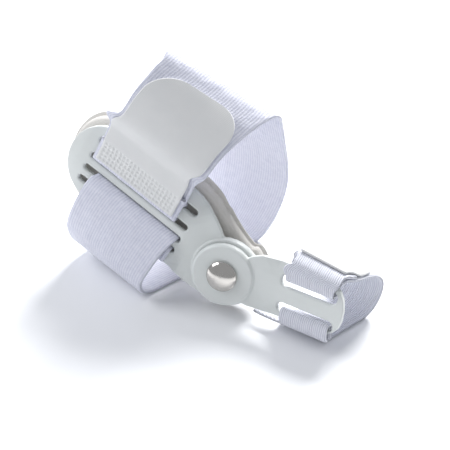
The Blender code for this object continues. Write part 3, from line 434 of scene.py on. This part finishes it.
# %% Foot tab
TAB_THICK, TAB_GAP = 1.0, 0.3
foot_lift = (TAB_GAP + FOOT_THICK / 2 + TAB_THICK / 2) * MM
middles, outs = foot_path["middles"], foot_path["outs"]
total = len(middles)
flap = slice(total - 19, total)
past_end = middles[-1] + PLATE_UP * 8.0 * MM
nearest = int(np.argmin(np.linalg.norm(middles[: total - 60] - past_end, axis=1)))
run = slice(nearest, nearest - 110, -1)
spots = np.vstack((middles[flap] + outs[flap] * foot_lift, middles[run] - outs[run] * foot_lift))
sides = np.vstack((outs[flap], -outs[run]))
rules = np.vstack((foot_path["rulings"][flap], foot_path["rulings"][run]))
foot_tab_path = tab_path(spots, rules, sides, 49.0 * MM, 36.7 * MM, 11.0 * MM, 0.25 * MM)
smoothed(foot_tab_path["middles"], 30)
foot_dents = weld_dents(0.6 * MM, 9.6 * MM, 17.2 * MM, 20, 5, 0.30 * MM)
foot_tab = cloth_band("foot_tab_tape", foot_tab_path, TAB_THICK * MM, 170, foot_dents)

# %% Toe tab
toe_lift = (TAB_GAP + TOE_THICK / 2 + TAB_THICK / 2) * MM
middles, outs = toe_path["middles"], toe_path["outs"]
nearest = int(np.argmin(np.linalg.norm(middles[40:140] - middles[0], axis=1))) + 40
start, run = slice(12, None, -1), slice(nearest + 5, nearest + 90)
spots = np.vstack((middles[start] - outs[start] * toe_lift, middles[run] + outs[run] * toe_lift))
sides = np.vstack((-outs[start], outs[run]))
rules = np.vstack((toe_path["rulings"][start], toe_path["rulings"][run]))
toe_tab_path = tab_path(spots, rules, sides, 19.0 * MM, 19.0 * MM, 7.5 * MM, 0.25 * MM)
smoothed(toe_tab_path["middles"], 30)
toe_dents = weld_dents(0.4 * MM, 6.6 * MM, 8.6 * MM, 11, 4, 0.28 * MM)
toe_tab = cloth_band("toe_tab_tape", toe_tab_path, TAB_THICK * MM, 100, toe_dents)

# %% [markdown]
# ## The pad
# A slab of soft foam in a knitted cover, cut to the plate's outline and a little wider. Its outline
# is four arcs: heel, shoulder, a hollow waist and the hub. Each outline point is joined to the
# nearest point of a line down the middle, and a second number runs from the rim in to that line.

# %% Pad
def arc(centre, radius, start, end, steps):
    """centre + radius (cos a, sin a), with a in degrees from start to end."""
    turns = np.radians(np.linspace(start, end, steps))
    return np.column_stack((centre[0] + radius * np.cos(turns), centre[1] + radius * np.sin(turns)))


def bend_back(points):
    """Turns what lies beyond 12 mm behind the hinge by 7 degrees over 6 mm, as the plate is bent."""
    run = np.clip(-points[:, 0] - 12.0, 0.0, None)
    radius = 6.0 / math.radians(7.0)
    turn = np.minimum(run / 6.0, 1.0) * math.radians(7.0)
    beyond = np.maximum(run - 6.0, 0.0)
    x = np.where(run > 0, 12.0 + (radius + points[:, 2]) * np.sin(turn) + beyond * np.cos(turn), -points[:, 0])
    z = (radius + points[:, 2]) * np.cos(turn) - radius - beyond * np.sin(turn)
    return np.column_stack((-x, points[:, 1], z))


def pad_outline(count):
    """Heel arc, top, shoulder arc, hollow waist arc and hub arc, then evenly spaced along the edge."""
    parts = [arc((-60.05, 3.2), 19.6, 270, 90, 60), arc((-28.0, -8.0), 30.6, 90, 59, 20)]
    parts += [arc((18.9, 69.1), 59.0, 238.0, 255.5, 20), arc((0.0, 0.0), 14.6, 73.0, -90.0, 50)]
    line = np.vstack(parts + [parts[0][:1]])
    travel = np.concatenate(([0.0], np.cumsum(np.linalg.norm(np.diff(line, axis=0), axis=1))))
    marks = np.linspace(0.0, travel[-1], count + 1)[:-1]
    edge = np.column_stack([np.interp(marks, travel, line[:, axis]) for axis in range(2)])
    for _ in range(12):
        edge = (np.roll(edge, 1, axis=0) + 2 * edge + np.roll(edge, -1, axis=0)) / 4
    return edge[::-1]


# share of the way in from the rim, height in mm
PAD_PROFILE = np.array((
    (0.99, 0.00), (0.60, 0.00), (0.35, -0.03), (0.22, -0.12), (0.13, -0.40), (0.07, -0.95), (0.035, -1.7),
    (0.022, -2.5), (0.03, -3.1), (0.045, -3.45), (0.02, -3.75), (-0.035, -3.85), (-0.05, -4.1), (-0.045, -4.5),
    (-0.01, -4.62), (0.04, -4.50), (0.07, -4.35), (0.12, -4.45), (0.20, -4.66), (0.35, -4.78), (0.60, -4.8),
    (0.99, -4.8),
))
edge = pad_outline(420)
spine = np.column_stack((np.clip(edge[:, 0], -60.0, 0.0), np.zeros(len(edge))))
spine[:, 1] = np.interp(spine[:, 0], (-60.0, 0.0), (3.2, 0.0))
marks = np.linspace(0, 1, len(PAD_PROFILE))
fine = np.linspace(0, 1, 150)
inward, height = np.interp(fine, marks, PAD_PROFILE[:, 0]), np.interp(fine, marks, PAD_PROFILE[:, 1])
for _ in range(4):
    inward[1:-1] = (inward[:-2] + 2 * inward[1:-1] + inward[2:]) / 4
    height[1:-1] = (height[:-2] + 2 * height[1:-1] + height[2:]) / 4
flat = edge[None] + (spine - edge)[None] * inward[:, None, None]
level = np.broadcast_to(height[:, None] - 4.8, flat.shape[:2])
bumps = 0.07 * smooth_noise(flat[..., 0] / 3.0 + 90, flat[..., 1] / 3.0 + 90, 11) * (inward[:, None] > 0.1)
heel = np.clip(-flat[..., 0] - 65.8, 0, None) / 11.0
level = level + bumps - 2.2 * np.minimum(heel, 1.3) ** 2
local = bend_back(np.concatenate((flat, level[..., None]), axis=-1).reshape(-1, 3)) * MM
pad_points = HINGE + local[:, :1] * HUB_ALONG + local[:, 1:2] * PLATE_UP + local[:, 2:] * HUB_OUT
pad = mesh_from("pad_cover", pad_points, grid_faces(150, 420, True), flat.reshape(-1, 2))
welder = pad.modifiers.new("weld", "WELD")
welder.merge_threshold = 0.00008
print("pad points", len(pad_points))

# %% [markdown]
# ## Moulded plastic
# The plate and the arm are injection moulded, so no edge on them is sharp. A copy of each solid is
# remeshed to even small squares and smoothed a little, which rounds every edge by about 0.3 mm.
# The squares are as small as keeps each piece under 200,000 triangles.

# %% Softened copies of the moulded pieces
def moulded(name, node, voxel, rounds):
    """A copy of a solid with its points merged, remeshed to a voxel size and smoothed."""
    mesh = frame["nodes"][node].data.copy()
    copy = bpy.data.objects.new(name, mesh)
    bpy.context.scene.collection.objects.link(copy)
    steps = (("WELD", {"merge_threshold": 0.00001}), ("REMESH", {"mode": "VOXEL", "voxel_size": voxel}),
             ("SMOOTH", {"factor": 0.5, "iterations": rounds}))
    for kind, settings in steps:
        step = copy.modifiers.new(kind.lower(), kind)
        for key, value in settings.items():
            setattr(step, key, value)
    bpy.context.view_layer.update()
    shaped = bpy.data.meshes.new_from_object(copy.evaluated_get(bpy.context.evaluated_depsgraph_get()))
    copy.modifiers.clear()
    copy.data = shaped
    shaped.name = name
    shaped.shade_smooth()
    print(name, "faces", len(shaped.polygons))
    return copy


SMOOTHING_ROUNDS = 6
plate = moulded("foot_plate_moulding", "foot_plate", 0.29 * MM, SMOOTHING_ROUNDS)
arm = moulded("toe_arm_moulding", "toe_arm", 0.22 * MM, SMOOTHING_ROUNDS)

# %% [markdown]
# ## The rivet
# A pressed and plated rivet: a low dome with a rolled edge, turned about the hinge's axis.

# %% Rivet
# radius, height above the hub's seat, in mm
RIVET_PROFILE = np.array((
    (0.0, -4.1), (4.2, -4.1), (4.5, -3.9), (4.5, -3.3), (4.3, -3.1), (2.2, -3.1), (2.2, 3.4), (5.3, 3.4),
    (5.7, 3.48), (5.85, 3.75), (5.82, 4.05), (5.6, 4.35), (5.2, 4.72), (4.5, 5.18), (3.6, 5.6), (2.6, 5.9),
    (1.4, 6.12), (0.0, 6.2),
))


def turned_surface(name, profile, count, subdivide):
    """P = hinge + r cos a along + r sin a up + z out: a profile of (r, z) turned about the hinge."""
    marks = np.linspace(0, len(profile) - 1, (len(profile) - 1) * subdivide + 1)
    r, z = (np.interp(marks, np.arange(len(profile)), profile[:, axis]) for axis in range(2))
    soft_r, soft_z = r.copy(), z.copy()
    for _ in range(subdivide):
        soft_r[1:-1] = (soft_r[:-2] + 2 * soft_r[1:-1] + soft_r[2:]) / 4
        soft_z[1:-1] = (soft_z[:-2] + 2 * soft_z[1:-1] + soft_z[2:]) / 4
    turn = np.linspace(0, 2 * np.pi, count, endpoint=False)
    x, y = soft_r[:, None] * np.cos(turn), soft_r[:, None] * np.sin(turn)
    level = np.broadcast_to(soft_z[:, None], x.shape)
    points = x[..., None] * HUB_ALONG + y[..., None] * PLATE_UP + level[..., None] * HUB_OUT
    piece = mesh_from(name, HINGE + points.reshape(-1, 3) * MM, grid_faces(len(marks), count, True))
    step = piece.modifiers.new("weld", "WELD")
    step.merge_threshold = 0.00002
    print(name, "points", len(points))
    return piece


rivet = turned_surface("rivet_plated", RIVET_PROFILE, 96, 4)

# %% [markdown]
# ## Finishes
# Colours are given as they look, so one function turns a hex value to the linear light that a
# shader wants, and one small function adds a node with its settings and links.

# %% Colour and node helpers
def linear(code):
    """sRGB hex to linear: c / 12.92 below 0.04045, else ((c + 0.055) / 1.055)^2.4, for each channel."""
    parts = [int(code[i:i + 2], 16) / 255 for i in (1, 3, 5)]
    return [c / 12.92 if c < 0.04045 else ((c + 0.055) / 1.055) ** 2.4 for c in parts] + [1.0]


def add_node(tree, kind, inputs=(), **settings):
    """Adds a shader node, sets its properties, then sets or links each (input, value or socket)."""
    made = tree.nodes.new("ShaderNode" + kind)
    for key, value in settings.items():
        setattr(made, key, value)
    for key, value in inputs:
        if isinstance(value, bpy.types.NodeSocket):
            tree.links.new(value, made.inputs[key])
        else:
            made.inputs[key].default_value = value
    return made


def finish_named(name, roughness, **constants):
    """A new material with its node tree and shader; constants go straight on the shader's sockets."""
    made = bpy.data.materials.new(name)
    made.use_nodes = True
    shader = made.node_tree.nodes["Principled BSDF"]
    shader.inputs["Roughness"].default_value = roughness
    for key, value in constants.items():
        shader.inputs[key.replace("_", " ")].default_value = value
    return made, made.node_tree, shader


def two_tones(tree, shader, amount, first, second):
    """Base colour = first * (1 - amount) + second * amount."""
    mix = add_node(tree, "Mix", ((0, amount), (6, linear(first)), (7, linear(second))), data_type="RGBA")
    tree.links.new(mix.outputs[2], shader.inputs["Base Color"])


def raised(tree, shader, heights, distance, strength=1.0):
    """Bump: the normal follows heights times distance in metres."""
    bump = add_node(tree, "Bump", (("Height", heights), ("Distance", distance), ("Strength", strength)))
    tree.links.new(bump.outputs["Normal"], shader.inputs["Normal"])


# %% Moulded polypropylene and plated brass
def moulded_polypropylene():
    """Light grey, faintly green, satin; a fine spark-eroded grain of 0.35 mm takes the glare off."""
    made, tree, shader = finish_named("moulded_polypropylene", 0.36, IOR=1.49)
    place = add_node(tree, "TexCoord").outputs["Object"]
    cloud = add_node(tree, "TexNoise", (("Vector", place), ("Scale", 90.0), ("Detail", 2.0)))
    two_tones(tree, shader, cloud.outputs[0], "#D3D7D5", "#DBDEDC")
    grain = add_node(tree, "TexNoise", (("Vector", place), ("Scale", 2800.0), ("Detail", 1.0)))
    raised(tree, shader, grain.outputs[0], 0.00002, 0.35)
    return made


def nickel_plated_brass():
    """Bright plating over pressed brass: warm grey mirror with a trace of drawing marks."""
    made, tree, shader = finish_named("nickel_plated_brass", 0.13, Metallic=1.0)
    place = add_node(tree, "TexCoord").outputs["Object"]
    cloud = add_node(tree, "TexNoise", (("Vector", place), ("Scale", 400.0), ("Detail", 2.0)))
    two_tones(tree, shader, cloud.outputs[0], "#C6C2BC", "#D2CFCA")
    raised(tree, shader, cloud.outputs[0], 0.00001, 0.2)
    return made


# %% Webbing, hook tape and knitted cover
def brushed_loop_webbing(name, first, second, pile_mm, rib_mm, rib_share):
    """Nylon loop webbing: noise at pile_mm for the loops, and ribs rib_mm apart along the strap; the colour
    follows this height, so the dips carry painted shade.
    """
    made, tree, shader = finish_named(name, 0.92, Sheen_Weight=0.35, Sheen_Roughness=0.5)
    shader.inputs["Sheen Tint"].default_value = linear("#FFFFFF")
    cloth = add_node(tree, "UVMap", uv_map="cloth").outputs[0]
    loops = add_node(tree, "TexNoise", (("Vector", cloth), ("Scale", 1.0 / pile_mm), ("Detail", 4.0)))
    clump = add_node(tree, "TexNoise", (("Vector", cloth), ("Scale", 0.22 / pile_mm), ("Detail", 3.0)))
    rib = add_node(tree, "TexWave", (("Vector", cloth), ("Scale", 0.314 / rib_mm)), bands_direction="X")
    blend = add_node(tree, "Mix", ((0, 0.5), (2, loops.outputs[0]), (3, clump.outputs[0])))
    height = add_node(tree, "Mix", ((0, rib_share), (2, blend.outputs[0]), (3, rib.outputs[1])))
    # The colour follows the bump's height: a random mottle, with painted shade in the dips between loops and ribs
    # and lighter tops.
    mottle_and_painted_shade = add_node(tree, "MapRange", (("Value", height.outputs[0]), ("From Min", 0.3), ("From Max", 0.7)))
    two_tones(tree, shader, mottle_and_painted_shade.outputs[0], first, second)
    raised(tree, shader, height.outputs[0], 0.00035, 0.8)
    return made


def moulded_hook_tape():
    """Nylon hook tape seen from its back: satin, with a fine woven hatch 0.5 mm apart."""
    made, tree, shader = finish_named("moulded_hook_tape", 0.55, Sheen_Weight=0.1)
    cloth = add_node(tree, "UVMap", uv_map="cloth").outputs[0]
    rows = add_node(tree, "TexWave", (("Vector", cloth), ("Scale", 0.6)), bands_direction="Y")
    columns = add_node(tree, "TexWave", (("Vector", cloth), ("Scale", 0.6)), bands_direction="X")
    cloud = add_node(tree, "TexNoise", (("Vector", cloth), ("Scale", 0.12), ("Detail", 2.0)))
    hatch = add_node(tree, "Math", ((0, rows.outputs[1]), (1, columns.outputs[1])), operation="MULTIPLY")
    two_tones(tree, shader, cloud.outputs[0], "#D9DADA", "#E2E2E1")
    raised(tree, shader, hatch.outputs[0], 0.00005, 0.5)
    return made


def knitted_foam_cover():
    """Warm grey warp knit over foam: small round stitches 0.7 mm apart, matt, with soft sheen."""
    made, tree, shader = finish_named("knitted_foam_cover", 0.95, Sheen_Weight=0.25)
    place = add_node(tree, "TexCoord").outputs["Object"]
    knit = add_node(tree, "TexVoronoi", (("Vector", place), ("Scale", 1400.0)))
    cloud = add_node(tree, "TexNoise", (("Vector", place), ("Scale", 160.0), ("Detail", 3.0)))
    two_tones(tree, shader, cloud.outputs[0], "#C9C6C0", "#D8D5D0")
    raised(tree, shader, knit.outputs[0], 0.00012, 0.6)
    return made


finishes = {
    "plastic": moulded_polypropylene(),
    "nickel": nickel_plated_brass(),
    # For each webbing the first colour goes in the dips as painted shade and the second on the loop and rib tops.
    "pile": brushed_loop_webbing("brushed_loop_webbing", "#C9CBDB", "#E6E7F1", 0.55, 1.1, 0.25),
    "ribbed": brushed_loop_webbing("ribbed_loop_webbing", "#CBCDD9", "#E3E4EC", 0.45, 0.8, 0.65),
    "tape": moulded_hook_tape(),
    "cover": knitted_foam_cover(),
}
print("finishes", sorted(finishes))

# %% [markdown]
# ## Dressing
# Each new piece gets its finish, takes the place of its solid and rides on that solid's body.

# %% Dress the pieces
DRESSED = (
    (plate, "foot_plate", "foot_part", "plastic", "moulded_plastic"),
    (arm, "toe_arm", "toe_part", "plastic", "moulded_plastic"),
    (rivet, "rivet", "foot_part", "nickel", "nickel"),
    (pad, "pad", "foot_part", "cover", "foam_cover"),
    (foot_cloth, "foot_strap", "foot_part", "pile", "loop_cloth"),
    (toe_cloth, "toe_strap", "toe_part", "ribbed", "loop_cloth"),
    (foot_tab, "foot_tab", "foot_part", "tape", "hook_cloth"),
    (toe_tab, "toe_tab", "toe_part", "tape", "hook_cloth"),
)
for piece, node, body, finish, slot in DRESSED:
    piece.data.materials.clear()
    piece.data.materials.append(finishes[finish])
    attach(piece, body)
    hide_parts(node)
print("dressed", len(DRESSED), "pieces")

# %% [markdown]
# ## Floor, light and camera
# A white sweep, one large soft light high at the back right and a pale sky. The photograph looks
# down at 36 degrees from about half a metre, so the camera has a long lens. The Standard view
# transform leaves the white sweep white, as the photograph's ground is.

# %% Floor, light and camera
bpy.ops.mesh.primitive_plane_add(size=4.0, location=(0, 0, -0.0002))
floor = bpy.context.object
floor.name = "floor"
white, tree, shader = finish_named("white_sweep", 0.6)
shader.inputs["Base Color"].default_value = linear("#F4F5F7")
floor.data.materials.append(white)


def soft_light(name, spot, aim, size, power, colour):
    """A square area light at a place, turned to face a point."""
    lamp = bpy.data.lights.new(name, "AREA")
    lamp.size, lamp.energy, lamp.color = size, power, linear(colour)[:3]
    holder = bpy.data.objects.new(name, lamp)
    holder.location = spot
    direction = np.array(aim) - np.array(spot)
    heading, reach = math.atan2(direction[1], direction[0]), math.hypot(direction[0], direction[1])
    holder.rotation_euler = (math.atan2(reach, -direction[2]), 0.0, heading - math.pi / 2)
    bpy.context.scene.collection.objects.link(holder)
    return holder


soft_light("key_light", (0.30, 0.50, 0.62), (0, 0, 0.02), 0.40, 13.0, "#FFFFFF")
soft_light("left_light", (-0.55, 0.10, 0.50), (0, 0, 0.03), 0.40, 2.6, "#FAFBFF")
world = bpy.data.worlds.new("pale_sky")
world.use_nodes = True
world.node_tree.nodes["Background"].inputs[0].default_value = linear("#EDF0F5")
world.node_tree.nodes["Background"].inputs[1].default_value = 0.50
bpy.context.scene.world = world
bpy.context.scene.view_settings.view_transform = "Standard"

CAMERA_REACH, CAMERA_HEIGHT_ANGLE, CAMERA_LENS = 480.0 * MM, math.radians(36), 102.9
lens = bpy.data.cameras.new("camera")
lens.lens = CAMERA_LENS
lens.clip_start = 0.01
camera = bpy.data.objects.new("camera", lens)
camera_aim = np.array([1.42, -11.24, 30.3]) * MM
towards_camera = np.array([0.0, -math.cos(CAMERA_HEIGHT_ANGLE), math.sin(CAMERA_HEIGHT_ANGLE)])
camera.location = camera_aim + CAMERA_REACH * towards_camera
camera.rotation_euler = (math.pi / 2 - CAMERA_HEIGHT_ANGLE, 0.0, 0.0)
bpy.context.scene.collection.objects.link(camera)
bpy.context.scene.camera = camera
print("camera", np.round(np.array(camera.location), 3).tolist())
